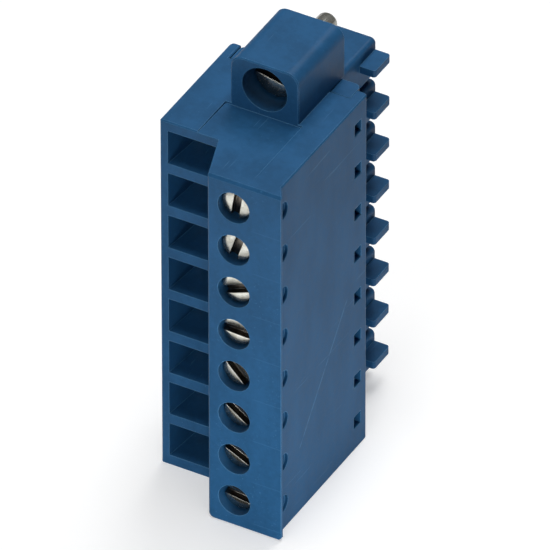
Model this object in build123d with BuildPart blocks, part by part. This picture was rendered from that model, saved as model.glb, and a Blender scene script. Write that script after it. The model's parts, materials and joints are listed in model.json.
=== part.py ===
from build123d import *

import os

# A pluggable screw terminal block that stands on its end: wires and screws at the
# front (-Y), contact towers at the back (+Y), the screw flange on top (+Z).
# The origin is the centre of the bottom of the bounding box. All sizes are in
# millimetres. A depth is measured backwards from the screw face.

# Poles
pole_count = 8
pole_pitch = 3.81
end_wall = 0.4

# Housing
body_width = 11.61
lip_overhang = 0.58
lip_thickness = 0.25
lip_back_slope = 0.95
lip_corner_bevel = 0.28
front_bevel = 0.22
screw_face_width = 6.0
step_depth = 4.0
step_run = 1.35
parting_depth = 12.87
left_wall = 0.77
left_wall_depth = 14.6
right_wall = 0.91
right_wall_depth = 13.95
notch_diameter = 1.5
notch_setback = 1.07
notch_depth = 0.28
wall_round = 0.36
plate_round = 0.4
edge_bevel = 0.1

# Wire funnels
wire_opening_width = 4.05
wire_opening_height = 2.93
wire_opening_wall = 0.65
wire_throat_width = 3.0
wire_throat_height = 2.35
wire_throat_depth = 7.0

# Clamp screws, with the direction of each slot as it stands, from the top pole down
screw_setback = 3.31
screw_bore = 2.62
screw_head_diameter = 2.45
screw_head_length = 1.3
screw_head_depth = 0.5
screw_shank = 2.0
screw_tip_bevel = 0.3
screw_slot_width = 0.5
screw_slot_depth = 0.55
screw_slot_angles = [81, 72, 22, -3, -47, -36, -26, -10]

# Clamp brackets
bracket_depth = 5.4
bracket_nut_thickness = 1.3
bracket_nut_side = 1.4
bracket_height = 2.95
bracket_sheet = 0.35
bracket_arm_depth = 9.5
thread_clearance = 0.04

# Pressure levers
pivot_depth = 8.3
lever_arm = 3.0
lever_arm_overhang = 0.75
lever_thickness = 0.7
lever_foot_gap = 0.47
lever_foot_reach = 1.25
lever_foot_length = 1.3
lever_tooth = 0.2
lever_bend = 0.8
trunnion_diameter = 0.9
pivot_clearance = 0.05
lever_side_clearance = 0.08

# Socket contacts
contact_sheet = 0.4
contact_leaf = 0.3
contact_bar_height = 1.9
contact_leaf_height = 1.2
contact_bend = 0.45
leaf_spread = 0.85
leaf_grip = 0.32
leaf_mouth = 0.6
leaf_grip_depth = 18.9
leaf_end_depth = 19.9

# Contact carrier
carrier_thickness = 1.85
carrier_inset = 0.15
carrier_round = 0.5
parting_groove_width = 0.12
parting_groove_depth = 0.6
tower_setback = 3.15
tower_width = 5.0
tower_height = 3.3
tower_length = 6.13
tower_round = 0.4
tower_cavity_width = 2.6
tower_cavity_height = 2.0
tower_end_wall = 0.7
pin_mouth = 1.3
pin_mouth_lead = 0.25
rib_reach = 1.3
rib_length = 2.35
rib_thickness = 0.62
rib_drop = 0.95
rib_end_gap = 0.15
rib_round = 0.25

# Latches between the housing and the carrier
latch_window_width = 1.0
latch_window_height = 1.09
latch_window_setback = 0.92
latch_window_lift = 0.15
latch_tongue = 0.7
latch_nub = 0.35

# Screw flange
flange_width = 5.6
flange_height = 4.32
flange_front = 8.2
flange_back = 14.95
flange_setback = 2.52
flange_round = 1.0
flange_hole = 3.7
flange_axis_height = 2.15
flange_seat = 1.6
flange_neck_hole = 1.75
ramp_left = 3.09
ramp_right = 9.39
ramp_front = 1.0
ramp_drop = 0.18

# Flange screw
flange_screw_head = 3.4
flange_screw_head_length = 1.8
flange_screw_slot_width = 0.6
flange_screw_slot_depth = 0.8
flange_screw_neck = 1.45
flange_screw_thread = 2.0
flange_screw_end = 17.7
flange_screw_float = 0.9
flange_screw_tip_bevel = 0.3
flange_slot_angle = -12

# Room around the pieces that are laid into a moulding, and around the latches
seat_clearance = 0.1
carrier_fit = 0.05
latch_clearance = 0.15

# Places that follow from the sizes above
overall_width = body_width + lip_overhang
overall_depth = parting_depth + carrier_thickness + tower_length
left_x = -overall_width / 2
lip_x = overall_width / 2
right_x = lip_x - lip_overhang
front_y = -overall_depth / 2
body_height = pole_count * pole_pitch + 2 * end_wall
top_pole_z = body_height - end_wall - pole_pitch / 2
pole_heights = [top_pole_z - pole * pole_pitch for pole in range(pole_count)]

lip_back_y = front_y + lip_thickness
step_y = front_y + step_depth
throat_y = front_y + wire_throat_depth
parting_y = front_y + parting_depth
left_back_y = front_y + left_wall_depth
right_back_y = front_y + right_wall_depth
inner_left_x = left_x + left_wall
inner_right_x = right_x - right_wall
screw_face_x = lip_x - screw_face_width
step_foot_x = screw_face_x - step_run
wire_x = left_x + wire_opening_wall + wire_opening_width / 2
screw_x = right_x - screw_setback
tongue_x = inner_right_x - latch_tongue

bracket_y = front_y + bracket_depth
bracket_nut_y = bracket_y + bracket_nut_thickness
bracket_arm_y = front_y + bracket_arm_depth
bracket_left_x = wire_x - wire_throat_width / 2
bracket_gap = bracket_height - 2 * bracket_sheet
pivot_x = screw_x - lever_arm
pivot_y = front_y + pivot_depth
lever_height = bracket_gap - 2 * lever_side_clearance
screw_head_y = front_y + screw_head_depth
screw_tip_y = pivot_y - lever_thickness / 2 - seat_clearance / 2

carrier_back_y = parting_y + carrier_thickness
tower_end_y = carrier_back_y + tower_length
tower_right_x = right_x - tower_setback
pin_x = tower_right_x - tower_width / 2
contact_bar_x = bracket_left_x + contact_sheet / 2
contact_back_y = parting_y - seat_clearance / 2 - contact_sheet / 2
bracket_back_y = contact_back_y - contact_sheet / 2 - seat_clearance

flange_x = right_x - flange_setback - flange_width / 2
flange_z = body_height + flange_axis_height
flange_front_y = front_y + flange_front
flange_back_y = front_y + flange_back
flange_seat_y = flange_back_y - flange_seat
flange_head_back_y = flange_seat_y - flange_screw_float
flange_thread_y = flange_back_y + seat_clearance
flange_screw_end_y = front_y + flange_screw_end


def across(y):
    """A plane square to the screws at this place, drawn as seen from the front."""
    return Plane.XZ.offset(-y)


def at_poles():
    """The places of what repeats at each pole."""
    return Locations(*[(0, 0, z) for z in pole_heights])


def write(piece, name):
    piece.label = name
    export_step(piece, f"parts/{name}.step")


# The empty room of one pole, drawn about the pole's height
with BuildPart() as pole_room:
    # wire funnel, narrowing to the throat
    with BuildSketch(across(step_y)):
        with Locations((wire_x, 0)):
            Rectangle(wire_opening_width, wire_opening_height)
    with BuildSketch(across(throat_y)):
        with Locations((wire_x, 0)):
            Rectangle(wire_throat_width, wire_throat_height)
    loft()
    # screw bore
    with BuildSketch(across(front_y)):
        with Locations((screw_x, 0)):
            Circle(screw_bore / 2)
    extrude(amount=-bracket_depth)
    # clamp room, open backwards to the parting plane
    with BuildSketch(Plane.XY):
        with BuildLine():
            Polyline(
                (tongue_x, bracket_y - seat_clearance),
                (tongue_x, parting_y),
                (bracket_left_x - seat_clearance, parting_y),
                (bracket_left_x - seat_clearance, throat_y),
                (pivot_x - lever_thickness, throat_y),
                (screw_x - bracket_nut_side - seat_clearance, bracket_y - seat_clearance),
                close=True,
            )
        make_face()
    extrude(amount=bracket_height / 2 + seat_clearance / 2, both=True)
    # latch pocket and its window through the right-hand wall
    pocket_length = latch_window_setback + latch_clearance
    with BuildSketch(Plane.XY.offset(latch_window_lift)):
        with Locations((inner_right_x, parting_y)):
            Rectangle(latch_tongue, pocket_length, align=Align.MAX)
    extrude(amount=latch_window_height / 2 + latch_clearance, both=True)
    with BuildSketch(Plane.XY.offset(latch_window_lift)):
        with Locations((tongue_x, parting_y - latch_window_setback)):
            Rectangle(latch_tongue + right_wall, latch_window_width, align=Align.MIN)
    extrude(amount=latch_window_height / 2, both=True)

# The housing: one moulding, with the flange standing on its upper end
with BuildPart() as housing:
    with BuildSketch(Plane.XY):
        with BuildLine():
            Polyline(
                (lip_x, front_y),
                (lip_x, lip_back_y),
                (right_x, lip_back_y + lip_back_slope),
                (right_x, right_back_y),
                (inner_right_x, right_back_y),
                (inner_right_x, parting_y),
                (inner_left_x, parting_y),
                (inner_left_x, left_back_y),
                (left_x, left_back_y),
                (left_x, step_y),
                (step_foot_x, step_y),
                (screw_face_x, front_y),
                close=True,
            )
        make_face()
    extrude(amount=body_height)
    upright_edges = housing.edges().filter_by(Axis.Z)
    left_back_edge = upright_edges.group_by(Axis.X)[0].sort_by(Axis.Y)[-1]
    right_back_edge = upright_edges.group_by(Axis.X)[-2].sort_by(Axis.Y)[-1]
    fillet([left_back_edge, right_back_edge], wall_round)
    slanted_step = housing.faces().filter_by(
        lambda face: abs(face.normal_at().X) > 0.1 and abs(face.normal_at().Y) > 0.1
    )
    step_wall = slanted_step.filter_by(GeomType.PLANE).sort_by(Axis.X)[0]
    fillet(step_wall.edges().group_by(Axis.Z)[0], plate_round)
    screw_face_edge = housing.faces().sort_by(Axis.Y)[0].edges().sort_by(Axis.X)[0]
    wire_side_edge = housing.faces().sort_by(Axis.X)[0].edges().sort_by(Axis.Y)[0]
    chamfer([screw_face_edge, wire_side_edge], edge_bevel)
    lip_foot = housing.edges().filter_by(Axis.Y).group_by(Axis.Z)[0].sort_by(Axis.X)[-1]
    chamfer(lip_foot, lip_corner_bevel)
    top_edges = housing.faces().sort_by(Axis.Z)[-1].outer_wire().edges()
    chamfer(top_edges.sort_by(Axis.Y)[0], front_bevel)
    top_edges = housing.faces().sort_by(Axis.Z)[-1].outer_wire().edges()
    chamfer(top_edges.sort_by(Axis.Y)[1:], edge_bevel)

    # shallow ramp that gives a screwdriver its way to the flange
    with BuildSketch(Plane.YZ.offset(left_x + ramp_left)):
        with BuildLine():
            Polyline(
                (front_y + ramp_front, body_height),
                (flange_front_y, body_height),
                (flange_front_y, body_height - ramp_drop),
                close=True,
            )
        make_face()
    extrude(amount=ramp_right - ramp_left, mode=Mode.SUBTRACT)

    # flange block, rounded along its upper edges
    with BuildSketch(across(flange_front_y)):
        with Locations((flange_x, body_height)):
            block = Rectangle(flange_width, flange_height, align=(Align.CENTER, Align.MIN))
        fillet(block.vertices().group_by(Axis.Y)[-1], flange_round)
    flange_block = extrude(amount=flange_front - flange_back)
    flange_rim = flange_block.faces().sort_by(Axis.Y)[0].edges().sort_by(Axis.Z)[1:]
    chamfer(flange_rim, edge_bevel)

    # one round notch behind the lip at each pole
    with BuildSketch(Plane.YZ.offset(right_x - notch_depth)):
        with Locations(*[(lip_back_y + notch_setback, z) for z in pole_heights]):
            Circle(notch_diameter / 2)
    extrude(amount=notch_depth + lip_overhang, mode=Mode.SUBTRACT)

    with at_poles():
        add(pole_room.part, mode=Mode.SUBTRACT)
    with Locations(across(flange_front_y)):
        with Locations((flange_x, flange_z)):
            CounterBoreHole(
                flange_neck_hole / 2,
                flange_hole / 2,
                flange_seat_y - flange_front_y,
                flange_back - flange_front,
            )
write(housing.part, "housing")

# One contact tower with its coding rib, drawn about the pole's height
with BuildPart() as tower:
    with BuildSketch(across(carrier_back_y)):
        with Locations((pin_x, 0)):
            Rectangle(tower_width, tower_height)
    extrude(amount=-tower_length)
    fillet(tower.edges().filter_by(Axis.Y).group_by(Axis.X)[-1], tower_round)
    chamfer(tower.faces().sort_by(Axis.Y)[-1].edges(), edge_bevel)
    rib_top = tower_height / 2 - rib_drop
    with BuildSketch(Plane.XY.offset(rib_top)):
        with Locations((tower_right_x - tower_round, tower_end_y - rib_end_gap)):
            rib = Rectangle(
                tower_round + rib_reach, rib_length, align=(Align.MIN, Align.MAX)
            )
        fillet(rib.vertices().group_by(Axis.X)[-1], rib_round)
    extrude(amount=-rib_thickness)

# The way of one contact through the carrier, ending in a square mouth for the pin
with BuildPart() as contact_room:
    with BuildSketch(across(parting_y)):
        with Locations((pin_x, 0)):
            Rectangle(tower_cavity_width, tower_cavity_height)
    extrude(amount=-(carrier_thickness + tower_length - tower_end_wall))
    with BuildSketch(across(parting_y)):
        with Locations((pin_x, 0)):
            Rectangle(pin_mouth, pin_mouth)
    extrude(amount=-(carrier_thickness + tower_length))
    with BuildSketch(across(tower_end_y - pin_mouth_lead)):
        with Locations((pin_x, 0)):
            Rectangle(pin_mouth, pin_mouth)
    with BuildSketch(across(tower_end_y)):
        with Locations((pin_x, 0)):
            Rectangle(pin_mouth + 2 * pin_mouth_lead, pin_mouth + 2 * pin_mouth_lead)
    loft()

# The contact carrier closes the back of the housing and carries the towers
carrier_height = body_height - 2 * carrier_inset
nub_length = latch_window_width - 2 * latch_clearance
nub_height = latch_window_height - 2 * latch_clearance
with BuildPart() as contact_carrier:
    with BuildSketch(Plane.XY.offset(carrier_inset)):
        with Locations((inner_right_x - carrier_fit, parting_y)):
            Rectangle(
                inner_right_x - inner_left_x - 2 * carrier_fit,
                carrier_thickness,
                align=(Align.MAX, Align.MIN),
            )
    extrude(amount=carrier_height)
    fillet(contact_carrier.faces().sort_by(Axis.Y)[-1].edges().filter_by(Axis.Z), carrier_round)
    with at_poles():
        add(tower.part)
    # one latch tongue at each pole, with the nub that snaps into the window
    with BuildSketch(*[Plane.XY.offset(z + latch_window_lift) for z in pole_heights]):
        with Locations((inner_right_x - carrier_fit, parting_y)):
            Rectangle(latch_tongue - 2 * carrier_fit, latch_window_setback, align=Align.MAX)
        with Locations((inner_right_x - carrier_fit, parting_y - latch_window_setback + latch_clearance)):
            Rectangle(latch_nub, nub_length, align=Align.MIN)
    extrude(amount=nub_height / 2, both=True)
    with at_poles():
        add(contact_room.part, mode=Mode.SUBTRACT)
    # a narrow groove beside the housing at both ends
    with BuildSketch(Plane.XY.offset(carrier_inset), Plane.XY.offset(body_height - carrier_inset)):
        with Locations((left_x, parting_y)):
            Rectangle(overall_width, parting_groove_width, align=Align.MIN)
    extrude(amount=parting_groove_depth, both=True, mode=Mode.SUBTRACT)
write(contact_carrier.part, "contact_carrier")

# A clamp bracket: the nut plate on the screw and two cheeks round the wire's place
with BuildPart() as clamp_bracket:
    with BuildSketch(Plane.XY):
        with BuildLine():
            Polyline(
                (screw_x + bracket_nut_side, bracket_y),
                (screw_x + bracket_nut_side, bracket_arm_y),
                (pivot_x + lever_thickness, bracket_arm_y),
                (pivot_x - lever_thickness, bracket_back_y),
                (bracket_left_x, bracket_back_y),
                (bracket_left_x, throat_y + seat_clearance),
                (pivot_x - lever_thickness, throat_y + seat_clearance),
                (screw_x - bracket_nut_side, bracket_y),
                close=True,
            )
        make_face()
    extrude(amount=bracket_height / 2, both=True)
    with BuildSketch(across(bracket_nut_y)):
        Rectangle(overall_width, bracket_gap)
    extrude(amount=bracket_nut_y - bracket_back_y, mode=Mode.SUBTRACT)
    with Locations(across(bracket_y)):
        with Locations((screw_x, 0)):
            Hole(screw_shank / 2 + thread_clearance, bracket_nut_thickness)
    with Locations((pivot_x, pivot_y, bracket_height / 2)):
        Hole(trunnion_diameter / 2 + pivot_clearance, bracket_height)

# A pressure lever: the screw pushes one arm and the foot of the other grips the wire
foot_x = pivot_x - lever_foot_reach
foot_y = contact_back_y - contact_sheet / 2 - lever_foot_gap
with BuildPart() as pressure_lever:
    with BuildSketch(Plane.XY):
        with BuildLine():
            FilletPolyline(
                (screw_x + lever_arm_overhang, pivot_y),
                (pivot_x, pivot_y),
                (foot_x + lever_thickness / 2, foot_y),
                radius=lever_bend,
            )
        trace(line_width=lever_thickness)
        with BuildLine():
            Polyline(
                (foot_x + lever_thickness, foot_y),
                (foot_x, foot_y),
                (foot_x + lever_tooth, foot_y - lever_foot_length / 2),
                (foot_x, foot_y - lever_foot_length / 2),
                (foot_x + lever_tooth, foot_y - lever_foot_length),
                (foot_x + lever_thickness, foot_y - lever_foot_length),
                close=True,
            )
        make_face()
    extrude(amount=lever_height / 2, both=True)
    with BuildSketch(Plane.XY):
        with Locations((pivot_x, pivot_y)):
            Circle(trunnion_diameter / 2)
    extrude(amount=bracket_height / 2, both=True)

# A socket contact: the bar that the wire lies on, and two leaves that grip the pin
with BuildPart() as socket_contact:
    with BuildSketch(Plane.XY):
        with BuildLine():
            FilletPolyline(
                (contact_bar_x, throat_y + 2 * seat_clearance),
                (contact_bar_x, contact_back_y),
                (pin_x + leaf_spread, contact_back_y),
                radius=contact_bend,
            )
        trace(line_width=contact_sheet)
    extrude(amount=contact_bar_height / 2, both=True)
    with BuildSketch(Plane.XY):
        with BuildLine():
            for side in (-1, 1):
                Polyline(
                    (pin_x + side * leaf_spread, contact_back_y),
                    (pin_x + side * leaf_spread, carrier_back_y),
                    (pin_x + side * leaf_grip, front_y + leaf_grip_depth),
                    (pin_x + side * leaf_mouth, front_y + leaf_end_depth),
                )
        trace(line_width=contact_leaf)
    extrude(amount=contact_leaf_height / 2, both=True)

for number, z in enumerate(pole_heights, start=1):
    height = Location((0, 0, z))
    write(clamp_bracket.part.moved(height), f"clamp_bracket_{number}")
    write(pressure_lever.part.moved(height), f"pressure_lever_{number}")
    write(socket_contact.part.moved(height), f"socket_contact_{number}")


def slotted_screw(x, z, outline, slot_width, slot_depth, slot_angle):
    """A slotted screw along Y, turned from an outline of radii and places."""
    head_radius, head_y = outline[0]
    with BuildPart() as screw:
        with BuildSketch(Plane((x, 0, z))):
            with BuildLine():
                Polyline((0, head_y), *outline, (0, outline[-1][1]), close=True)
            make_face()
        revolve(axis=Axis((x, 0, z), (0, 1, 0)))
        with BuildSketch(across(head_y)):
            with Locations((x, z)):
                Rectangle(4 * head_radius, slot_width, rotation=slot_angle)
        extrude(amount=-slot_depth, mode=Mode.SUBTRACT)
    return screw.part


# The clamp screws, each with its slot as it stands
screw_outline = [
    (screw_head_diameter / 2, screw_head_y),
    (screw_head_diameter / 2, screw_head_y + screw_head_length),
    (screw_shank / 2, screw_head_y + screw_head_length),
    (screw_shank / 2, screw_tip_y - screw_tip_bevel),
    (screw_shank / 2 - screw_tip_bevel, screw_tip_y),
]
for number, z in enumerate(pole_heights, start=1):
    slot_angle = screw_slot_angles[(number - 1) % len(screw_slot_angles)]
    clamp_screw = slotted_screw(
        screw_x, z, screw_outline, screw_slot_width, screw_slot_depth, slot_angle
    )
    write(clamp_screw, f"clamp_screw_{number}")

# The captive flange screw: its thread is wider than the hole that its neck runs in
flange_screw_outline = [
    (flange_screw_head / 2 - edge_bevel, flange_head_back_y - flange_screw_head_length),
    (flange_screw_head / 2, flange_head_back_y - flange_screw_head_length + edge_bevel),
    (flange_screw_head / 2, flange_head_back_y),
    (flange_screw_neck / 2, flange_head_back_y),
    (flange_screw_neck / 2, flange_thread_y),
    (flange_screw_thread / 2, flange_thread_y),
    (flange_screw_thread / 2, flange_screw_end_y - flange_screw_tip_bevel),
    (flange_screw_thread / 2 - flange_screw_tip_bevel, flange_screw_end_y),
]
flange_screw = slotted_screw(
    flange_x,
    flange_z,
    flange_screw_outline,
    flange_screw_slot_width,
    flange_screw_slot_depth,
    flange_slot_angle,
)
write(flange_screw, "flange_screw")
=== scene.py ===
import json
import math

import bpy
from bpy.props import FloatProperty, FloatVectorProperty, IntProperty, PointerProperty
from mathutils import Matrix, Vector


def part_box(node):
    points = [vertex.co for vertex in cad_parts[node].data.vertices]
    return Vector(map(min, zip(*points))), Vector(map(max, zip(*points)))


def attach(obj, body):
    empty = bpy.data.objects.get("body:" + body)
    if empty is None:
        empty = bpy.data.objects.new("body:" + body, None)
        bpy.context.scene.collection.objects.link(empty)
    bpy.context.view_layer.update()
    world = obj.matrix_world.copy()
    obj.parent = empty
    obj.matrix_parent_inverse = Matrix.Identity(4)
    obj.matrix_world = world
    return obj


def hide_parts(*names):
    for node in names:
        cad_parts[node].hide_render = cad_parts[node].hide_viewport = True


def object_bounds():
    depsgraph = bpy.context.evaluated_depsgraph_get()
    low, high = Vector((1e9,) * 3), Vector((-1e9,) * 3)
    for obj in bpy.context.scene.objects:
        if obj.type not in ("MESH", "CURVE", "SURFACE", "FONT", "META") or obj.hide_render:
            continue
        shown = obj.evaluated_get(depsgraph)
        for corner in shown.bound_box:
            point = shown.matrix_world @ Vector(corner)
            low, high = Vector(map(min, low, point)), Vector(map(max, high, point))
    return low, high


bl_info = {
    "name": "Pluggable Terminal Block",
    "version": (1, 0, 0),
    "blender": (4, 5, 0),
    "location": "3D View > Sidebar > Terminal Block",
    "description": "Dresses the packed model of a pluggable terminal block and lights it",
    "category": "Object",
}

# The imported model. Its boxes give the sizes and places of everything below.
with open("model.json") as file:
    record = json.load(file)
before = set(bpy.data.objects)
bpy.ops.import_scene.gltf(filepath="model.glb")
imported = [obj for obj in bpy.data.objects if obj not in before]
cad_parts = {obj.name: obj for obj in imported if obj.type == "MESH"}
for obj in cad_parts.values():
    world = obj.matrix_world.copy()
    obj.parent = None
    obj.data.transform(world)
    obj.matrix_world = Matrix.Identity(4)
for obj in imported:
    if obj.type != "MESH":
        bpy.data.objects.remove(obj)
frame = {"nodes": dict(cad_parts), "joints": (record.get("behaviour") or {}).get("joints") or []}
cad_low, cad_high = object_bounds()

MM = 0.001
MERGE_DISTANCE = 0.0001 * MM
MATT = 0.9
POLE_COUNT = sum(name.startswith("clamp_screw_") for name in frame["nodes"])
POLES = range(1, POLE_COUNT + 1)
JOINTS = {joint["name"]: joint for joint in frame["joints"]}
HOUSING_LOW, HOUSING_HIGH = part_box("housing")
SCREW_LOW, SCREW_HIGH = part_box("clamp_screw_1")
FLANGE_LOW, FLANGE_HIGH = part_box("flange_screw")


def joint_place(name):
    """Where a joint's axis goes through, in metres."""
    return Vector(JOINTS[name]["pos_m"])


# Sizes and colours that a user would change


class PlasticSettings(bpy.types.PropertyGroup):
    colour: FloatVectorProperty(
        name="Colour", description="Body colour of the moulded plastic",
        subtype="COLOR", size=3, min=0.0, max=1.0, default=(0.0185, 0.093, 0.216),
    )
    # paler colour: a painted highlight along the edges, and the pale wear of scratches, dust and
    # marks
    wear_and_edge_highlight_colour: FloatVectorProperty(
        name="Edge colour", description="Paler colour of edges and of scratches",
        subtype="COLOR", size=3, min=0.0, max=1.0, default=(0.080, 0.235, 0.43),
    )
    roughness: FloatProperty(
        name="Roughness", description="Roughness of the satin moulded skin",
        min=0.0, max=1.0, subtype="FACTOR", default=0.42,
    )
    shine: FloatProperty(
        name="Shine", description="Specular level of the moulded skin",
        min=0.0, max=1.0, subtype="FACTOR", default=0.13,
    )
    grain_size: FloatProperty(
        name="Grain size", description="Size of the fine grain left by the mould",
        unit="LENGTH", min=0.00001, default=0.09 * MM,
    )
    grain_depth: FloatProperty(
        name="Grain depth", description="Depth of the fine grain",
        unit="LENGTH", default=0.0045 * MM,
    )
    flow_size: FloatProperty(
        name="Flow size", description="Size of the cloudy shades left by the flow",
        unit="LENGTH", min=0.00001, default=2.6 * MM,
    )
    mottle_size: FloatProperty(
        name="Mottle size", description="Size of the mottles in colour and roughness",
        unit="LENGTH", min=0.00001, default=0.45 * MM,
    )
    swell_size: FloatProperty(
        name="Swell size", description="Size of the slow swells in the flat walls",
        unit="LENGTH", min=0.00001, default=1.8 * MM,
    )
    swell_depth: FloatProperty(
        name="Swell depth", description="Depth of the slow swells in the flat walls",
        unit="LENGTH", default=0.012 * MM,
    )
    scratch_size: FloatProperty(
        name="Scratch size", description="Spacing of the fine scratches",
        unit="LENGTH", min=0.00001, default=0.16 * MM,
    )
    scratched_area: FloatProperty(
        name="Scratched areas", description="Size of the areas that are scratched",
        unit="LENGTH", min=0.00001, default=5.0 * MM,
    )
    scratch_depth: FloatProperty(
        name="Scratch depth", description="Depth of the fine scratches",
        unit="LENGTH", default=0.006 * MM,
    )
    edge_radius: FloatProperty(
        name="Edge radius", description="Radius that the edges show in the light",
        unit="LENGTH", min=0.0, default=0.11 * MM,
    )
    # how strongly the edges are painted pale as a highlight
    edge_highlight: FloatProperty(
        name="Edge wear", description="How pale the edges are",
        min=0.0, max=1.0, subtype="FACTOR", default=0.95,
    )
    scratch_wear: FloatProperty(
        name="Scratch wear", description="How pale the fine scratches are",
        min=0.0, max=1.0, subtype="FACTOR", default=0.35,
    )
    dust_size: FloatProperty(
        name="Dust size", description="Spacing of the specks of dust",
        unit="LENGTH", min=0.00001, default=0.22 * MM,
    )
    dust_wear: FloatProperty(
        name="Dust", description="How pale the specks of dust are",
        min=0.0, max=1.0, subtype="FACTOR", default=0.13,
    )
    side_offset: FloatProperty(
        name="Side", description="From the screws' axes to the side with the long scratch",
        unit="LENGTH", default=3.31 * MM,
    )
    long_scratch_start: FloatVectorProperty(
        name="Long scratch start", description="Where it starts along Y and Z on the side",
        unit="LENGTH", size=2, default=(-6.59 * MM, 5.82 * MM),
    )
    long_scratch_end: FloatVectorProperty(
        name="Long scratch end", description="Where it ends along Y and Z on the side",
        unit="LENGTH", size=2, default=(0.44 * MM, 14.6 * MM),
    )
    long_scratch_width: FloatProperty(
        name="Long scratch width", description="Half the width of the long scratch",
        unit="LENGTH", default=0.085 * MM,
    )
    long_scratch_breaks: FloatProperty(
        name="Long scratch breaks", description="Size of the breaks in the long scratch",
        unit="LENGTH", min=0.00001, default=0.5 * MM,
    )
    long_scratch_wear: FloatProperty(
        name="Long scratch wear", description="How pale the long scratch is",
        min=0.0, max=1.0, subtype="FACTOR", default=0.6,
    )
    seam_lift: FloatProperty(
        name="Seam height", description="From a screw up to the faint mould line above it",
        unit="LENGTH", default=2.25 * MM,
    )
    seam_width: FloatProperty(
        name="Seam width", description="Half the width of a faint mould line",
        unit="LENGTH", default=0.05 * MM,
    )
    seam_fade: FloatProperty(
        name="Seam fade", description="How far beside a screw a mould line grows to its full",
        unit="LENGTH", default=0.6 * MM,
    )
    seam_wear: FloatProperty(
        name="Seam wear", description="How pale a faint mould line is",
        min=0.0, max=1.0, subtype="FACTOR", default=0.16,
    )


class MetalSettings(bpy.types.PropertyGroup):
    zinc: FloatVectorProperty(
        name="Zinc", description="Colour of the zinc plated screws",
        subtype="COLOR", size=3, min=0.0, max=1.0, default=(0.50, 0.50, 0.455),
    )
    # a darker colour that paints the shade down in the slots
    slot: FloatVectorProperty(
        name="Slot", description="Colour down in the slots of the screws",
        subtype="COLOR", size=3, min=0.0, max=1.0, default=(0.16, 0.145, 0.125),
    )
    sheet: FloatVectorProperty(
        name="Sheet", description="Colour of the plated sheet of brackets and levers",
        subtype="COLOR", size=3, min=0.0, max=1.0, default=(0.55, 0.54, 0.52),
    )
    tin: FloatVectorProperty(
        name="Tin", description="Colour of the tinned contacts",
        subtype="COLOR", size=3, min=0.0, max=1.0, default=(0.66, 0.64, 0.60),
    )
    rubbed: FloatVectorProperty(
        name="Rubbed", description="Brighter colour of the metal's rubbed edges",
        subtype="COLOR", size=3, min=0.0, max=1.0, default=(0.80, 0.79, 0.76),
    )
    roughness: FloatProperty(
        name="Roughness", description="Roughness of the plated metal",
        min=0.0, max=1.0, subtype="FACTOR", default=0.22,
    )
    cloud_size: FloatProperty(
        name="Cloud size", description="Size of the dull spots",
        unit="LENGTH", min=0.00001, default=0.55 * MM,
    )
    cloud_depth: FloatProperty(
        name="Cloud depth", description="Depth of the uneven plating",
        unit="LENGTH", default=0.004 * MM,
    )
    grain_size: FloatProperty(
        name="Metal grain", description="Size of the grain in the plating's roughness",
        unit="LENGTH", min=0.00001, default=0.09 * MM,
    )
    mark_size: FloatProperty(
        name="Tool marks", description="Spacing of the faint tool marks",
        unit="LENGTH", min=0.00001, default=0.07 * MM,
    )
    mark_depth: FloatProperty(
        name="Tool mark depth", description="Depth of the faint tool marks",
        unit="LENGTH", default=0.0005 * MM,
    )
    edge_radius: FloatProperty(
        name="Metal edge radius", description="Radius that the metal's edges show in the light",
        unit="LENGTH", min=0.0, default=0.035 * MM,
    )


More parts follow.
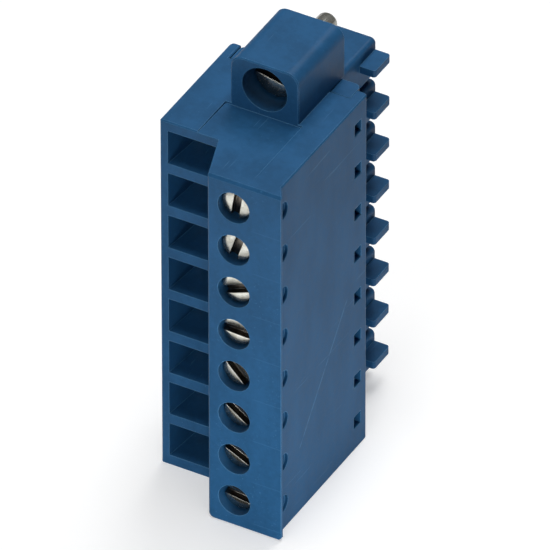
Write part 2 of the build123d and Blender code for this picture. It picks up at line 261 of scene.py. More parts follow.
class ScrewSettings(bpy.types.PropertyGroup):
    pitch: FloatProperty(
        name="Thread pitch", description="Travel of one turn of both threads",
        unit="LENGTH", default=0.4 * MM,
    )
    thread_depth: FloatProperty(
        name="Thread depth", description="From the crest to the root of both threads",
        unit="LENGTH", default=0.2 * MM,
    )
    rim_bevel: FloatProperty(
        name="Rim bevel", description="Bevel round the heads", unit="LENGTH", default=0.12 * MM,
    )
    burr_bevel: FloatProperty(
        name="Edge break", description="Broken edge along the slots",
        unit="LENGTH", default=0.03 * MM,
    )
    tip_bevel: FloatProperty(
        name="Tip bevel", description="Bevel round the ends of the clamp screws",
        unit="LENGTH", default=0.3 * MM,
    )
    clamp_slot_width: FloatProperty(
        name="Clamp screw slot", description="Width of the slot of a clamp screw",
        unit="LENGTH", default=0.66 * MM,
    )
    clamp_slot_depth: FloatProperty(
        name="Clamp slot depth", description="Depth of the slot of a clamp screw",
        unit="LENGTH", default=0.55 * MM,
    )
    clamp_head_length: FloatProperty(
        name="Clamp head length", description="Length of a clamp screw's head",
        unit="LENGTH", default=1.3 * MM,
    )
    clamp_thread: FloatProperty(
        name="Clamp thread", description="Outer diameter of a clamp screw's thread",
        unit="LENGTH", default=2.0 * MM,
    )
    turned_in: FloatVectorProperty(
        name="Turned in", description="How much deeper each clamp screw's head stands",
        unit="LENGTH", size=8,
        default=(0.0, 0.0, 0.0, 0.0, 0.12 * MM, 0.22 * MM, 0.22 * MM, 0.22 * MM),
    )
    flange_slot_width: FloatProperty(
        name="Flange screw slot", description="Width of the slot of the flange screw",
        unit="LENGTH", default=0.6 * MM,
    )
    flange_slot_depth: FloatProperty(
        name="Flange slot depth", description="Depth of the slot of the flange screw",
        unit="LENGTH", default=0.8 * MM,
    )
    flange_head_reach: FloatProperty(
        name="Flange head reach", description="How far the flange screw's head stands forward",
        unit="LENGTH", default=0.8 * MM,
    )
    flange_head_length: FloatProperty(
        name="Flange head length", description="Length of the flange screw's head",
        unit="LENGTH", default=2.6 * MM,
    )
    flange_neck: FloatProperty(
        name="Flange neck", description="Diameter of the flange screw's neck",
        unit="LENGTH", default=1.45 * MM,
    )
    flange_neck_length: FloatProperty(
        name="Flange neck length", description="Length of the flange screw's neck",
        unit="LENGTH", default=2.6 * MM,
    )
    flange_thread: FloatProperty(
        name="Flange thread", description="Outer diameter of the flange screw's thread",
        unit="LENGTH", default=2.0 * MM,
    )
    flange_pilot_length: FloatProperty(
        name="Flange pilot", description="Length of the smooth end that finds the nut",
        unit="LENGTH", default=1.25 * MM,
    )
    steps: IntProperty(
        name="Steps", description="Steps in one turn of a turned shape", min=16, default=48,
    )


class StageSettings(bpy.types.PropertyGroup):
    azimuth: FloatProperty(
        name="Azimuth", description="Camera's turn round the block, 0 is square to the screws",
        subtype="ANGLE", default=math.radians(29.184),
    )
    elevation: FloatProperty(
        name="Elevation", description="Camera's height above the horizon",
        subtype="ANGLE", default=math.radians(37.627),
    )
    roll: FloatProperty(
        name="Roll", description="Camera's turn about its own line of sight",
        subtype="ANGLE", default=math.radians(-0.07),
    )
    distance: FloatProperty(
        name="Distance", description="From the camera to the point that it looks at",
        unit="LENGTH", default=1.2876,
    )
    lens: FloatProperty(
        name="Lens", description="Focal length in millimetres for a frame of 36 mm",
        default=1179.1,
    )
    aim_right: FloatProperty(
        name="Aim right", description="From the picture's middle right to the lip's corner",
        unit="LENGTH", default=0.4229 * MM,
    )
    aim_up: FloatProperty(
        name="Aim up", description="From the picture's middle up to the lip's corner",
        unit="LENGTH", default=3.6289 * MM,
    )
    floor_size: FloatProperty(
        name="Floor size", description="Width of the floor", unit="LENGTH", default=1.6,
    )
    floor_colour: FloatVectorProperty(
        name="Floor", description="Colour of the floor",
        subtype="COLOR", size=3, min=0.0, max=1.0, default=(0.75, 0.75, 0.75),
    )
    floor_white: FloatProperty(
        name="Floor white", description="What brings the seen floor up to white", default=0.40,
    )
    room_level: FloatProperty(
        name="Room light", description="Strength of the even light of the room", default=0.01,
    )
    mirrored_room: FloatProperty(
        name="Mirrored room", description="Strength of the room in reflections", default=0.22,
    )
    mirrored_share: FloatProperty(
        name="Mirrored floor", description="Share of the floor's white that reflections see",
        min=0.0, max=1.0, subtype="FACTOR", default=0.25,
    )
    # the dark card is seen only in reflections: painted shade in the lower screw heads
    reflected_shade_colour: FloatVectorProperty(
        name="Card", description="Colour of the dark card before the block",
        subtype="COLOR", size=3, min=0.0, max=1.0, default=(0.02, 0.02, 0.02),
    )
    card_width: FloatProperty(
        name="Card width", description="Width of the dark card before the block",
        unit="LENGTH", default=0.05,
    )
    card_depth: FloatProperty(
        name="Card depth", description="Depth of the dark card before the block",
        unit="LENGTH", default=0.0185,
    )
    card_thickness: FloatProperty(
        name="Card thickness", description="Thickness of the dark card before the block",
        unit="LENGTH", default=0.0001,
    )
    card_gap: FloatProperty(
        name="Card gap", description="From the screws' faces to the card",
        unit="LENGTH", default=0.0005,
    )
    top_lamp: FloatProperty(
        name="Top lamp", description="Power of the lamp above in watts", default=0.80,
    )
    back_lamp: FloatProperty(
        name="Back lamp", description="Power of the lamp above the back in watts", default=0.65,
    )
    front_lamp: FloatProperty(
        name="Front lamp", description="Power of the low lamp at the front in watts",
        default=0.48,
    )
    low_strip: FloatProperty(
        name="Low strip", description="Power of the narrow strip at the block's foot in watts",
        default=0.0086,
    )
    low_front_strip: FloatProperty(
        name="Low front strip", description="Power of the strip before the funnels in watts",
        default=0.0017,
    )
    top_direction: FloatVectorProperty(
        name="Top lamp's side", description="From the block to the top lamp",
        subtype="DIRECTION", size=3, default=(0.0, 0.0, 1.0),
    )
    back_direction: FloatVectorProperty(
        name="Back lamp's side", description="From the block to the back lamp",
        subtype="DIRECTION", size=3, default=(0.0, 0.5, 0.87),
    )
    front_direction: FloatVectorProperty(
        name="Front lamp's side", description="From the block to the front lamp",
        subtype="DIRECTION", size=3, default=(0.0, -0.93, 0.3),
    )
    strip_direction: FloatVectorProperty(
        name="Low strip's side", description="From the block to the low strip",
        subtype="DIRECTION", size=3, default=(0.76, -0.65, 0.0),
    )
    front_strip_direction: FloatVectorProperty(
        name="Low front strip's side", description="From the block to the low front strip",
        subtype="DIRECTION", size=3, default=(-0.35, -0.94, 0.0),
    )
    lamp_size: FloatProperty(
        name="Lamp size", description="Width of each large lamp", unit="LENGTH", default=0.22,
    )
    lamp_distance: FloatProperty(
        name="Lamp distance", description="From each large lamp to the block",
        unit="LENGTH", default=0.4,
    )
    strip_length: FloatProperty(
        name="Strip length", description="Length of the low strips", unit="LENGTH", default=0.05,
    )
    strip_height: FloatProperty(
        name="Strip height", description="Height of the low strips",
        unit="LENGTH", default=0.0075,
    )
    strip_distance: FloatProperty(
        name="Strip distance", description="From the low strips to the block",
        unit="LENGTH", default=0.043,
    )


# The groups of settings, by their names on the scene
SETTINGS = {
    "block_plastic": PlasticSettings,
    "block_metal": MetalSettings,
    "block_screws": ScrewSettings,
    "block_stage": StageSettings,
}


# Materials


class Nodes:
    """Adds shader nodes to one material and wires them."""

    def __init__(self, name):
        self.material = bpy.data.materials.new(name)
        self.material.use_nodes = True
        self.tree = self.material.node_tree
        self.shader = self.tree.nodes["Principled BSDF"]
        self.place = self.add("ShaderNodeTexCoord").outputs["Object"]

    def add(self, kind, settings=None, **inputs):
        """A new node with these settings, its inputs set or linked."""
        node = self.tree.nodes.new(kind)
        for key, value in (settings or {}).items():
            setattr(node, key, value)
        for key, value in inputs.items():
            self.feed(node.inputs[key.replace("_", " ")], value)
        return node

    def feed(self, socket, value):
        """Links an output to a socket, or sets the socket to a plain value."""
        if isinstance(value, bpy.types.NodeSocket):
            self.tree.links.new(value, socket)
        else:
            socket.default_value = value

    def math(self, operation, first, second=0.0):
        node = self.add("ShaderNodeMath", {"operation": operation})
        self.feed(node.inputs[0], first)
        self.feed(node.inputs[1], second)
        return node.outputs[0]

    def vector(self, operation, first, second):
        node = self.add("ShaderNodeVectorMath", {"operation": operation})
        self.feed(node.inputs[0], first)
        self.feed(node.inputs["Scale" if operation == "SCALE" else 1], second)
        return node.outputs["Value" if operation == "DOT_PRODUCT" else "Vector"]

    def noise(self, size, detail=3.0, roughness=0.5, place=None):
        """A cloudy pattern with spots of this size."""
        node = self.add(
            "ShaderNodeTexNoise",
            Vector=place or self.place, Scale=1.0 / size, Detail=detail, Roughness=roughness,
        )
        return node.outputs["Fac"]

    def stretched(self, scale, turn=(0.0, 0.0, 0.0)):
        """The place, stretched and turned, for marks that run one way."""
        node = self.add("ShaderNodeMapping", Vector=self.place, Scale=scale, Rotation=turn)
        return node.outputs["Vector"]

    def between(self, value, low, high, start=0.0, end=1.0):
        """Goes smoothly from start to end while the value goes from low to high."""
        node = self.add("ShaderNodeMapRange", {"interpolation_type": "SMOOTHSTEP"})
        limits = {"From Min": low, "From Max": high, "To Min": start, "To Max": end}
        for key, number in limits.items():
            node.inputs[key].default_value = number
        self.feed(node.inputs["Value"], value)
        return node.outputs["Result"]

    def mix(self, factor, first, second):
        node = self.add("ShaderNodeMix", {"data_type": "RGBA"})
        self.feed(node.inputs["Factor"], factor)
        self.feed(node.inputs["A"], first)
        self.feed(node.inputs["B"], second)
        return node.outputs["Result"]

    def bump(self, height, depth, normal=None):
        node = self.add("ShaderNodeBump", Height=height, Distance=depth, Strength=1.0)
        if normal is not None:
            self.feed(node.inputs["Normal"], normal)
        return node.outputs["Normal"]

    def edge(self, radius):
        """The normal with softened edges, and how near an edge is."""
        soft = self.add("ShaderNodeBevel", {"samples": 6}, Radius=radius).outputs["Normal"]
        true = self.add("ShaderNodeNewGeometry").outputs["Normal"]
        return soft, self.between(self.vector("DOT_PRODUCT", soft, true), 0.995, 0.86)

    def near_line(self, start, end, width):
        """How near the place is to a straight line between two points."""
        run = end - start
        away = self.vector("SUBTRACT", self.place, start)
        along = self.vector("DOT_PRODUCT", away, run / run.length_squared)
        along = self.math("MINIMUM", self.math("MAXIMUM", along, 0.0), 1.0)
        away = self.vector("SUBTRACT", away, self.vector("SCALE", run, along))
        distance = self.math("SQRT", self.vector("DOT_PRODUCT", away, away))
        return self.between(distance, width, 0.4 * width)


def rgba(colour):
    """A colour with full opacity."""
    return (colour[0], colour[1], colour[2], 1.0)


def housing_marks(n, settings):
    """A long scratch on the side, and the faint lines that the mould left beside the screws."""
    top_screw, next_screw = joint_place("clamp_screw_turn_1"), joint_place("clamp_screw_turn_2")
    side = top_screw.x + settings.side_offset
    scratch = n.near_line(
        Vector((side, *settings.long_scratch_start)), Vector((side, *settings.long_scratch_end)),
        settings.long_scratch_width,
    )
    broken = n.noise(settings.long_scratch_breaks, detail=2.0)
    scratch = n.math("MULTIPLY", scratch, n.between(broken, 0.35, 0.6, 0.25, 1.0))
    scratch = n.math("MULTIPLY", scratch, settings.long_scratch_wear)
    # one line above each screw, on the front face and to the right of the screws
    axes = n.add("ShaderNodeSeparateXYZ", Vector=n.place)
    above = n.math("SUBTRACT", axes.outputs["Z"], top_screw.z + settings.seam_lift)
    above = n.math("PINGPONG", above, (top_screw.z - next_screw.z) / 2)
    seam = n.between(above, settings.seam_width, 0.4 * settings.seam_width)
    front = n.between(axes.outputs["Y"], HOUSING_LOW.y + 0.05 * MM, HOUSING_LOW.y + 0.02 * MM)
    beside = n.between(axes.outputs["X"], SCREW_HIGH.x, SCREW_HIGH.x + settings.seam_fade)
    beside = n.math("MULTIPLY", beside, settings.seam_wear)
    seam = n.math("MULTIPLY", n.math("MULTIPLY", seam, front), beside)
    return n.math("MAXIMUM", scratch, seam)


def moulded_plastic(name, settings, marks=None):
    """Blue satin plastic: mould grain, faint flow marks, edges painted pale as a highlight,
    scratches and dust.
    """
    n = Nodes(name)
    soft_normal, near_edge = n.edge(settings.edge_radius)
    # cloudy shades that run up the block with the flow of the plastic
    flow = n.noise(settings.flow_size, detail=4.0, place=n.stretched((1.0, 1.0, 0.35)))
    mottle = n.noise(settings.mottle_size, detail=5.0, roughness=0.65)
    shade = n.math("ADD", n.math("MULTIPLY", flow, 0.6), n.math("MULTIPLY", mottle, 0.4))
    darker = tuple(0.86 * part for part in settings.colour)
    lighter = tuple(1.13 * part for part in settings.colour)
    colour = n.mix(n.between(shade, 0.32, 0.68), rgba(darker), rgba(lighter))
    # two layers of thin scratches from front to back, in some areas
    scratched = n.between(n.noise(settings.scratched_area, detail=1.0), 0.48, 0.62)
    scratch = 0.0
    for turn in ((0.5, 0.1, 0.0), (-0.9, -0.18, 7.3)):
        layer = n.stretched((1.0, 0.02, 1.0), turn)
        line = n.between(n.noise(settings.scratch_size, detail=1.0, place=layer), 0.72, 0.76)
        scratch = n.math("MAXIMUM", n.math("MULTIPLY", line, scratched), scratch)
    dust = n.between(n.noise(settings.dust_size, detail=0.0), 0.79, 0.83)
    # edges painted pale as a highlight, then the pale wear of scratches, dust and marks
    wear_and_edge_highlight = n.math("MULTIPLY", near_edge, settings.edge_highlight)
    wear_and_edge_highlight = n.math("MAXIMUM", wear_and_edge_highlight, n.math("MULTIPLY", scratch, settings.scratch_wear))
    wear_and_edge_highlight = n.math("MAXIMUM", wear_and_edge_highlight, n.math("MULTIPLY", dust, settings.dust_wear))
    if marks is not None:
        wear_and_edge_highlight = n.math("MAXIMUM", wear_and_edge_highlight, marks(n, settings))
    colour = n.mix(wear_and_edge_highlight, colour, rgba(settings.wear_and_edge_highlight_colour))
    # fine grain, slow swells in the flat walls, and the depth of the scratches
    grain = n.noise(settings.grain_size, detail=4.0, roughness=0.6)
    normal = n.bump(grain, settings.grain_depth, soft_normal)
    normal = n.bump(n.noise(settings.swell_size, detail=2.0), settings.swell_depth, normal)
    normal = n.bump(n.math("MULTIPLY", scratch, -1.0), settings.scratch_depth, normal)
    n.feed(n.shader.inputs["Base Color"], colour)
    n.feed(n.shader.inputs["Normal"], normal)
    n.feed(
        n.shader.inputs["Roughness"],
        n.between(mottle, 0.2, 0.8, settings.roughness - 0.05, settings.roughness + 0.07),
    )
    n.shader.inputs["Specular IOR Level"].default_value = settings.shine
    return n.material


def plated_metal(name, settings, colour, roughness):
    """Plated steel or tinned copper: faint tool marks, dull spots and a little tarnish."""
    n = Nodes(name)
    soft_normal, near_edge = n.edge(settings.edge_radius)
    cloud = n.noise(settings.cloud_size, detail=4.0)
    grain = n.noise(settings.grain_size, detail=3.0)
    dull = (0.72 * colour[0], 0.70 * colour[1], 0.66 * colour[2], 1.0)
    base = n.mix(n.between(cloud, 0.40, 0.72), rgba(colour), dull)
    base = n.mix(n.math("MULTIPLY", near_edge, 0.35), base, rgba(settings.rubbed))
    n.feed(n.shader.inputs["Base Color"], base)
    n.shader.inputs["Metallic"].default_value = 1.0
    uneven = n.between(grain, 0.2, 0.8, roughness * 0.8, roughness * 1.3)
    n.feed(n.shader.inputs["Roughness"], uneven)
    marks = n.noise(settings.mark_size, detail=2.0, place=n.stretched((1.0, 0.15, 1.0)))
    normal = n.bump(marks, settings.mark_depth, soft_normal)
    n.feed(n.shader.inputs["Normal"], n.bump(cloud, settings.cloud_depth, normal))
    return n.material


def give(thing, material):
    """One material on the whole of an object."""
    thing.data.materials.clear()
    thing.data.materials.append(material)


# Modelling steps that several pieces share


def deselect():
    """Leaves edit mode, with nothing selected."""
    if bpy.context.object and bpy.context.object.mode != "OBJECT":
        bpy.ops.object.mode_set(mode="OBJECT")
    bpy.ops.object.select_all(action="DESELECT")


def pick(piece):
    """Makes this the only selected object."""
    deselect()
    piece.select_set(True)
    bpy.context.view_layer.objects.active = piece


def apply_all(piece):
    """Applies the piece's modifiers in their order."""
    pick(piece)
    for modifier in list(piece.modifiers):
        bpy.ops.object.modifier_apply(modifier=modifier.name)


def clean(piece):
    """Merges doubles and points every face outwards."""
    pick(piece)
    bpy.ops.object.mode_set(mode="EDIT")
    bpy.ops.mesh.select_all(action="SELECT")
    bpy.ops.mesh.remove_doubles(threshold=MERGE_DISTANCE)
    bpy.ops.mesh.normals_make_consistent(inside=False)
    bpy.ops.object.mode_set(mode="OBJECT")


def outline(name, points):
    """A line of edges through points of (radius, height), drawn by extruding one vertex."""
    deselect()
    bpy.ops.mesh.primitive_plane_add(size=MM)
    piece = bpy.context.object
    piece.name = name
    bpy.ops.object.mode_set(mode="EDIT")
    bpy.ops.mesh.select_all(action="SELECT")
    bpy.ops.mesh.merge(type="CENTER")
    here = Vector((0.0, 0.0))
    for number, point in enumerate(points):
        step = Vector(point) - here
        move = (step.x, 0.0, step.y)
        if number == 0:
            bpy.ops.transform.translate(value=move)
        else:
            bpy.ops.mesh.extrude_vertices_move(TRANSFORM_OT_translate={"value": move})
        here = Vector(point)
    bpy.ops.object.mode_set(mode="OBJECT")
    return piece


def turn(piece, steps, rise=0.0, turns=1):
    """Turns an outline about Z, and along it where it rises."""
    screw = piece.modifiers.new("turn", "SCREW")
    screw.steps = steps
    screw.render_steps = steps
    screw.screw_offset = rise
    screw.iterations = turns
    screw.use_merge_vertices = True
    screw.merge_threshold = MERGE_DISTANCE
    apply_all(piece)
    clean(piece)


def combine(piece, other, operation):
    """Cuts or trims a piece by another one, which is then gone."""
    boolean = piece.modifiers.new("combine", "BOOLEAN")
    boolean.operation = operation
    boolean.solver = "EXACT"
    boolean.material_mode = "TRANSFER"
    boolean.object = other
    apply_all(piece)
    bpy.data.objects.remove(other)


def cut_off(piece, height, keep_above):
    """Cuts a piece at this height and closes the cut."""
    pick(piece)
    bpy.ops.object.mode_set(mode="EDIT")
    bpy.ops.mesh.select_all(action="SELECT")
    bpy.ops.mesh.bisect(
        plane_co=(0.0, 0.0, height), plane_no=(0.0, 0.0, 1.0), use_fill=True,
        clear_inner=keep_above, clear_outer=not keep_above, threshold=0.00001 * MM,
    )
    bpy.ops.object.mode_set(mode="OBJECT")


def threaded_rod(settings, radius, top, bottom, tip_bevel):
    """A rod down Z with a real thread, its lower end bevelled."""
    root = radius - settings.thread_depth
    pitch = settings.pitch
    turns = math.ceil((top - bottom) / pitch) + 3
    start = bottom - 1.5 * pitch
    ridge = outline("thread", [
        (root, start),
        (radius, start + 0.38 * pitch),
        (radius, start + 0.5 * pitch),
        (root, start + 0.88 * pitch),
        (root, start + pitch),
    ])
    turn(ridge, settings.steps // 2, rise=pitch, turns=turns)
    cut_off(ridge, top, keep_above=False)
    cut_off(ridge, bottom, keep_above=True)
    blank = outline("blank", [
        (0.0, top + pitch),
        (1.5 * radius, top + pitch),
        (1.5 * radius, bottom + tip_bevel + 0.5 * radius),
        (radius - tip_bevel, bottom),
        (0.0, bottom),
    ])
    turn(blank, settings.steps)
    combine(ridge, blank, "INTERSECT")
    clean(ridge)
    return ridge


def slotted_head(settings, name, radius, length, neck, neck_end, slot, metals):
    """A turned head facing up at height 0, its neck below, its slot along X in a darker metal that
    paints the shade in the slot.
    """
    rim = settings.rim_bevel
    slot_width, slot_depth = slot
    head = outline(name, [
        (0.0, 0.0),
        (radius - rim, 0.0),
        (radius - 0.3 * rim, -0.3 * rim),
        (radius, -rim),
        (radius, rim - length),
        (radius - rim, -length),
        (neck, -length),
        (neck, neck_end),
        (0.0, neck_end),
    ])
    turn(head, settings.steps)
    give(head, metals[0])
    deselect()
    bpy.ops.mesh.primitive_cube_add(size=1.0, location=(0.0, 0.0, 0.0))
    cutter = bpy.context.object
    cutter.scale = (4.0 * radius, slot_width, 2.0 * slot_depth)
    bpy.ops.object.transform_apply(location=False, rotation=False, scale=True)
    # the slot's faces take the darker metal: painted shade down in the slot
    give(cutter, metals[1])
    combine(head, cutter, "DIFFERENCE")
    broken = head.modifiers.new("broken_edges", "BEVEL")
    broken.width = settings.burr_bevel
    broken.segments = 2
    broken.limit_method = "ANGLE"
    broken.angle_limit = math.radians(50.0)
    broken.material = 0
    apply_all(head)
    clean(head)
    return head


def join(piece, *others):
    """Makes one piece of several."""
    pick(piece)
    for other in others:
        other.select_set(True)
    bpy.ops.object.join()


def put_in_place(piece, angle, place):
    """Turns a screw about its axis, lays it along Y with its head to the front, and moves it."""
    pick(piece)
    piece.matrix_world = (
        Matrix.Translation(place)
        @ Matrix.Rotation(math.radians(90.0), 4, "X")
        @ Matrix.Rotation(angle, 4, "Z")
    )
    bpy.ops.object.transform_apply(location=True, rotation=True, scale=True)
    bpy.ops.object.shade_smooth_by_angle(angle=math.radians(32.0))


def slot_angle(node, depth):
    """The direction of a screw's slot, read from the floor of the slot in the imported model."""
    points = [vertex.co for vertex in node.data.vertices]
    front = min(point.y for point in points)
    floor = [point for point in points if abs(point.y - front - depth) < 0.01 * MM]
    centre = sum(floor, Vector()) / len(floor)
    away = [point - centre for point in floor]
    across = sum(point.x**2 - point.z**2 for point in away)
    mixed = sum(2.0 * point.x * point.z for point in away)
    return 0.5 * math.atan2(mixed, across)


# Operators, one for each group of pieces and one for the stage


class BLOCK_OT_mouldings(bpy.types.Operator):
    """Give the housing and the contact carrier their moulded plastic"""

    bl_idname = "block.mouldings"
    bl_label = "Mouldings"

    def execute(self, context):
        settings = context.scene.block_plastic
        housing_plastic = moulded_plastic("housing_plastic", settings, marks=housing_marks)
        give(frame["nodes"]["housing"], housing_plastic)
        give(frame["nodes"]["contact_carrier"], moulded_plastic("carrier_plastic", settings))
        return {"FINISHED"}


class BLOCK_OT_sheet_parts(bpy.types.Operator):
    """Give the clamp brackets, pressure levers and socket contacts their plated metal"""

    bl_idname = "block.sheet_parts"
    bl_label = "Sheet parts"

    def execute(self, context):
        settings = context.scene.block_metal
        sheet = plated_metal("bracket_steel", settings, settings.sheet, settings.roughness)
        tin = plated_metal("tinned_copper", settings, settings.tin, settings.roughness)
        for name, node in frame["nodes"].items():
            if name.startswith(("clamp_bracket", "pressure_lever")):
                give(node, sheet)
            elif name.startswith("socket_contact"):
                give(node, tin)
        return {"FINISHED"}


def screw_metals(name, settings):
    """The bright plating of a screw, and a darker metal that paints the shade down in its slot."""
    return (
        plated_metal(f"{name}_zinc", settings, settings.zinc, settings.roughness),
        plated_metal(f"{name}_slot", settings, settings.slot, 1.4 * settings.roughness),
    )


def stand_for(screw, node, body):
    """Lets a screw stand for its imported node, on the body that turns."""
    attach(screw, body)
    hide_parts(node.name)


class BLOCK_OT_clamp_screws(bpy.types.Operator):
    """Model a clamp screw with its slot and thread for each depth, and put one at each pole"""

    bl_idname = "block.clamp_screws"
    bl_label = "Clamp screws"

    def execute(self, context):
        settings = context.scene.block_screws
        metals = screw_metals("clamp_screw", context.scene.block_metal)
        models = {}
        for number, deeper in zip(POLES, settings.turned_in):
            if deeper not in models:
                models[deeper] = self.model_screw(settings, metals, deeper)
            node = frame["nodes"][f"clamp_screw_{number}"]
            give(node, metals[0])
            low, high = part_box(node.name)
            screw = models[deeper].copy()
            screw.data = models[deeper].data.copy()
            screw.name = f"slotted_clamp_screw_{number}"
            context.collection.objects.link(screw)
            place = Vector(((low.x + high.x) / 2, low.y + deeper, (low.z + high.z) / 2))
            put_in_place(screw, slot_angle(node, settings.clamp_slot_depth), place)
            stand_for(screw, node, node.name)
        for model in models.values():
            bpy.data.objects.remove(model)
        return {"FINISHED"}

    def model_screw(self, settings, metals, deeper):
        """A clamp screw that faces up, shorter by how much deeper its head stands."""
        thread = settings.clamp_thread / 2
        length = settings.clamp_head_length
        head = slotted_head(
            settings, "clamp_screw_model", (SCREW_HIGH.x - SCREW_LOW.x) / 2, length,
            thread - settings.thread_depth, -length - settings.pitch,
            (settings.clamp_slot_width, settings.clamp_slot_depth), metals,
        )
        tip = SCREW_LOW.y - SCREW_HIGH.y + deeper
        rod = threaded_rod(settings, thread, -length, tip, settings.tip_bevel)
        give(rod, metals[0])
        join(head, rod)
        return head


class BLOCK_OT_flange_screw(bpy.types.Operator):
    """Model the captive flange screw: slotted head, thin neck, thread and smooth pilot end"""

    bl_idname = "block.flange_screw"
    bl_label = "Flange screw"

    def execute(self, context):
        settings = context.scene.block_screws
        metals = screw_metals("flange_screw", context.scene.block_metal)
        node = frame["nodes"]["flange_screw"]
        give(node, metals[0])
        thread = settings.flange_thread / 2
        root = thread - settings.thread_depth
        length = settings.flange_head_length
        collar = -length - settings.flange_neck_length
        tip = FLANGE_LOW.y - FLANGE_HIGH.y - settings.flange_head_reach
        shoulder = tip + settings.flange_pilot_length
        head = slotted_head(
            settings, "captive_flange_screw", (FLANGE_HIGH.x - FLANGE_LOW.x) / 2, length,
            settings.flange_neck / 2, collar - settings.pitch,
            (settings.flange_slot_width, settings.flange_slot_depth), metals,
        )
        rod = threaded_rod(settings, thread, collar, shoulder, settings.thread_depth)
        pilot = outline("pilot", [
            (0.0, shoulder + settings.pitch),
            (root, shoulder + settings.pitch),
            (root, tip + 0.25 * root),
            (0.92 * root, tip + 0.08 * root),
            (0.75 * root, tip),
            (0.0, tip),
        ])
        turn(pilot, settings.steps)
        give(rod, metals[0])
        give(pilot, metals[0])
        join(head, rod, pilot)
        place = Vector((
            (FLANGE_LOW.x + FLANGE_HIGH.x) / 2,
            FLANGE_LOW.y - settings.flange_head_reach,
            (FLANGE_LOW.z + FLANGE_HIGH.z) / 2,
        ))
        put_in_place(head, slot_angle(node, settings.flange_slot_depth), place)
        stand_for(head, node, node.name)
        return {"FINISHED"}


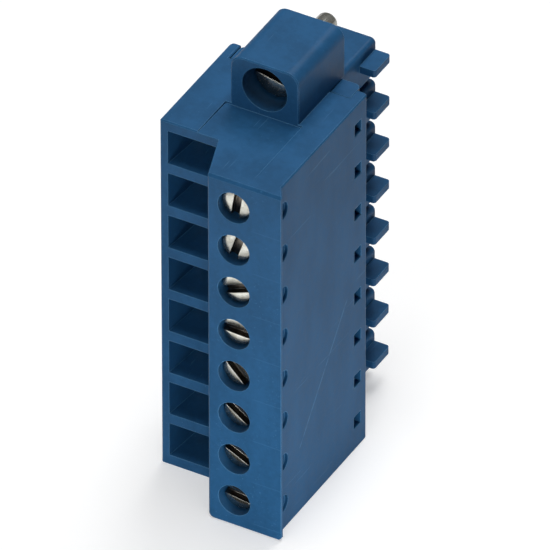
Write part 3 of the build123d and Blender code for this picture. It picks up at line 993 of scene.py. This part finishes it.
class BLOCK_OT_stage(bpy.types.Operator):
    """Set up the floor, the lamps, the room light and the camera"""

    bl_idname = "block.stage"
    bl_label = "Stage"

    def execute(self, context):
        settings = context.scene.block_stage
        self.make_floor(settings)
        # a dark card that paints shade into the screw heads' reflections
        self.make_reflected_shade_card(settings)
        self.make_room(context, settings)
        self.make_lamps(settings)
        self.make_camera(context, settings)
        context.scene.view_settings.view_transform = "Standard"
        return {"FINISHED"}

    def make_floor(self, settings):
        """A white floor that takes the block's shadow."""
        deselect()
        bpy.ops.mesh.primitive_plane_add(size=settings.floor_size, location=(0.0, 0.0, 0.0))
        floor = bpy.context.object
        floor.name = "floor"
        n = Nodes("floor_paint")
        n.shader.inputs["Base Color"].default_value = rgba(settings.floor_colour)
        n.shader.inputs["Roughness"].default_value = MATT
        # straight looks see the floor as a white ground, and reflections a little of it
        path = n.add("ShaderNodeLightPath")
        mirrored = n.math("MULTIPLY", path.outputs["Is Glossy Ray"], settings.mirrored_share)
        seen = n.math("ADD", path.outputs["Is Camera Ray"], mirrored)
        seen = n.math("ADD", seen, path.outputs["Is Transmission Ray"])
        n.shader.inputs["Emission Color"].default_value = (1.0, 1.0, 1.0, 1.0)
        white = n.math("MULTIPLY", seen, settings.floor_white)
        n.feed(n.shader.inputs["Emission Strength"], white)
        give(floor, n.material)

    def make_reflected_shade_card(self, settings):
        """A dark card before the block, which only reflections see: painted shade in the
        reflections of the lower screw heads.
        """
        deselect()
        bpy.ops.mesh.primitive_cube_add(size=1.0)
        card = bpy.context.object
        card.name = "reflected_shade_card"
        width, depth, thickness = settings.card_width, settings.card_depth, settings.card_thickness
        card.scale = (width, depth, thickness)
        # the screw heads' reflections fall to the left of the block
        near = SCREW_LOW.y - settings.card_gap
        card.location = (-width / 4, near - depth / 2, thickness)
        bpy.ops.object.transform_apply(location=True, rotation=False, scale=True)
        n = Nodes("reflected_shade_paint")
        n.shader.inputs["Base Color"].default_value = rgba(settings.reflected_shade_colour)
        n.shader.inputs["Roughness"].default_value = MATT
        give(card, n.material)
        # nothing but reflections sees the card, so it paints shade into them
        card.visible_camera = False
        card.visible_diffuse = False
        card.visible_transmission = False
        card.visible_volume_scatter = False
        card.visible_shadow = False

    def make_room(self, context, settings):
        """A white room that lights the block very little."""
        world = bpy.data.worlds.new("room")
        world.use_nodes = True
        tree = world.node_tree
        background = tree.nodes["Background"]
        background.inputs["Color"].default_value = (1.0, 1.0, 1.0, 1.0)
        # straight looks see a white room, and reflections a brighter one than lights the block
        path = tree.nodes.new("ShaderNodeLightPath")
        level = background.inputs["Strength"]
        looks = {
            "Is Glossy Ray": settings.mirrored_room, "Is Transmission Ray": 1.0,
            "Is Camera Ray": 1.0,
        }
        for ray, seen in looks.items():
            choice = tree.nodes.new("ShaderNodeMix")
            choice.inputs["A"].default_value = settings.room_level
            choice.inputs["B"].default_value = seen
            tree.links.new(path.outputs[ray], choice.inputs["Factor"])
            tree.links.new(choice.outputs["Result"], level)
            level = choice.inputs["A"]
        context.scene.world = world

    def make_lamps(self, settings):
        """Three large lamps round the block and two narrow ones at its foot."""
        middle = Vector((0.0, 0.0, cad_high.z / 2))
        disk = (settings.lamp_distance, settings.lamp_size, settings.lamp_size)
        self.add_lamp("top_lamp", settings.top_lamp, middle, settings.top_direction, *disk)
        self.add_lamp("back_lamp", settings.back_lamp, middle, settings.back_direction, *disk)
        self.add_lamp("front_lamp", settings.front_lamp, middle, settings.front_direction, *disk)
        # the strips stand just above the floor
        foot = Vector((0.0, 0.0, 0.55 * settings.strip_height))
        strip = (settings.strip_distance, settings.strip_length, settings.strip_height)
        self.add_lamp("low_strip", settings.low_strip, foot, settings.strip_direction, *strip)
        self.add_lamp(
            "low_front_strip", settings.low_front_strip, foot, settings.front_strip_direction,
            *strip,
        )

    def add_lamp(self, name, power, aim, direction, distance, width, height):
        """An area lamp at this distance that looks at a point."""
        towards = Vector(direction).normalized()
        bpy.ops.object.light_add(type="AREA", location=aim + distance * towards)
        lamp = bpy.context.object
        lamp.name = name
        lamp.data.energy = power
        lamp.data.shape = "DISK" if width == height else "RECTANGLE"
        lamp.data.size = width
        lamp.data.size_y = height
        lamp.rotation_euler = towards.to_track_quat("Z", "Y").to_euler()
        lamp.visible_camera = False

    def make_camera(self, context, settings):
        """The long lens of the photo."""
        a, e, r = settings.azimuth, settings.elevation, settings.roll
        back = Vector((math.sin(a) * math.cos(e), -math.cos(a) * math.cos(e), math.sin(e)))
        right = Vector((math.cos(a), math.sin(a), 0.0))
        up = back.cross(right)
        # the picture's middle, measured from the lip's corner at the top pole
        corner = Vector((HOUSING_HIGH.x, HOUSING_LOW.y, joint_place("clamp_screw_turn_1").z))
        aim = corner - settings.aim_right * right - settings.aim_up * up
        bpy.ops.object.camera_add(location=aim + settings.distance * back)
        camera = bpy.context.object
        camera.data.lens = settings.lens
        camera.data.sensor_width = 36.0
        camera.data.clip_end = 10.0
        turned = Matrix((right, up, back)).transposed() @ Matrix.Rotation(r, 3, "Z")
        camera.rotation_euler = turned.to_euler()
        context.scene.camera = camera


class BLOCK_PT_panel(bpy.types.Panel):
    """The block's sizes, colours and operators"""

    bl_idname = "BLOCK_PT_panel"
    bl_label = "Terminal Block"
    bl_space_type = "VIEW_3D"
    bl_region_type = "UI"
    bl_category = "Terminal Block"

    def draw(self, context):
        for name, group in SETTINGS.items():
            box = self.layout.box()
            for key in group.__annotations__:
                box.prop(getattr(context.scene, name), key)
        for operator in OPERATORS:
            self.layout.operator(operator.bl_idname)


OPERATORS = (
    BLOCK_OT_mouldings,
    BLOCK_OT_sheet_parts,
    BLOCK_OT_clamp_screws,
    BLOCK_OT_flange_screw,
    BLOCK_OT_stage,
)
CLASSES = (*SETTINGS.values(), *OPERATORS, BLOCK_PT_panel)


def register():
    for group in CLASSES:
        bpy.utils.register_class(group)
    for name, group in SETTINGS.items():
        setattr(bpy.types.Scene, name, PointerProperty(type=group))


def unregister():
    for name in SETTINGS:
        delattr(bpy.types.Scene, name)
    for group in reversed(CLASSES):
        bpy.utils.unregister_class(group)


def main():
    register()
    bpy.ops.block.mouldings()
    bpy.ops.block.sheet_parts()
    bpy.ops.block.clamp_screws()
    bpy.ops.block.flange_screw()
    bpy.ops.block.stage()


if __name__ == "__main__":
    main()
